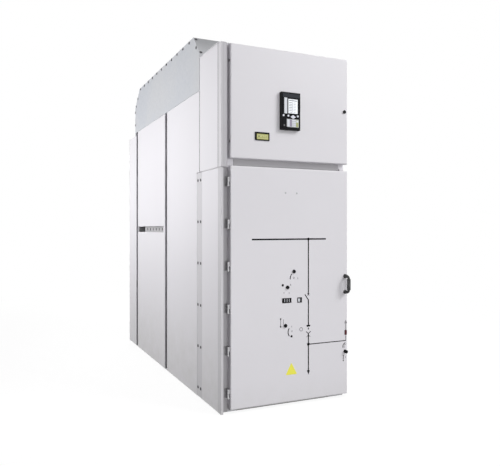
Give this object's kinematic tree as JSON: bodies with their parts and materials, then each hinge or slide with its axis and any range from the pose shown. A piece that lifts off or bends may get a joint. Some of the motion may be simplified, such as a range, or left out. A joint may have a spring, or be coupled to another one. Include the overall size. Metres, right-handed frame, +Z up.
{
  "type": "air-insulated switchgear panel",
  "caption": "Free-standing sheet-metal switchgear panel with a row-end wall, hinged low-voltage and lower doors, and a pressure relief duct on its roof.",
  "frame": {"origin": "centre of the bounding box's bottom, on the floor", "axes": "+X to the right seen from the front, +Y to the rear, so the doors face -Y, +Z up"},
  "size_m": [0.98, 2.554, 2.592],
  "materials": {
    "grey_paint": "satin powder coat",
    "galvanised_sheet": "matt galvanised",
    "dark_profile": "matt dark primer",
    "hinge_steel": "zinc plated",
    "black_plastic": "fine matt"
  },
  "bodies": {
    "enclosure": {"base_side_bars": "galvanised_sheet", "base_cross_bars": "galvanised_sheet", "floor_plate": "galvanised_sheet", "door_sill": "grey_paint", "left_front_post": "grey_paint", "right_front_post": "grey_paint", "door_cross_rail": "grey_paint", "lv_header": "grey_paint", "left_inner_wall": "galvanised_sheet", "right_inner_wall": "galvanised_sheet", "lv_linings": "galvanised_sheet", "end_wall_posts": "dark_profile", "end_wall_front_trim": "grey_paint", "lv_corner_post": "grey_paint", "end_wall_front_lower": "grey_paint", "end_wall_lv_side": "grey_paint", "end_wall_joint_strip": "grey_paint", "end_wall_front_panel": "grey_paint", "end_wall_middle_panel": "grey_paint", "end_wall_rear_panel": "grey_paint", "perforated_rail": "galvanised_sheet", "lv_roof": "grey_paint", "lv_floor": "galvanised_sheet", "lv_back": "galvanised_sheet", "compartment_ceiling": "galvanised_sheet", "compartment_back": "galvanised_sheet", "main_roof": "galvanised_sheet", "rear_roof": "grey_paint", "right_lv_side": "grey_paint", "right_front_panel": "grey_paint", "right_upper_panel": "grey_paint", "right_middle_panel": "grey_paint", "right_rear_panel": "grey_paint", "rear_lower_cover": "grey_paint", "rear_upper_cover": "grey_paint", "duct_left_end": "galvanised_sheet", "duct_right_end": "galvanised_sheet", "duct_front_slope": "galvanised_sheet", "duct_roof": "galvanised_sheet", "duct_rear_slope": "galvanised_sheet", "hinge_frame_leaves": "hinge_steel", "lv_hinge_tongues": "hinge_steel"},
    "lv_door": {"lv_door_panel": "grey_paint", "lv_hinge_ears": "hinge_steel", "protection_relay": "black_plastic", "voltage_indicator": "black_plastic", "lv_lock": "black_plastic"},
    "lower_door": {"lower_door_panel": "grey_paint", "hinge_door_leaves": "hinge_steel", "bow_handle": "black_plastic", "operating_sockets": "black_plastic"}
  },
  "joints": [
    {"name": "lv_door_hinge", "type": "hinge", "parent": "enclosure", "child": "lv_door", "pos_m": [-0.41, -1.205, 2], "axis": [0, 0, -1], "range_deg": [0, 110]},
    {"name": "lower_door_hinge", "type": "hinge", "parent": "enclosure", "child": "lower_door", "pos_m": [-0.435, -1.213, 0.8], "axis": [0, 0, -1], "range_deg": [0, 120]}
  ]
}
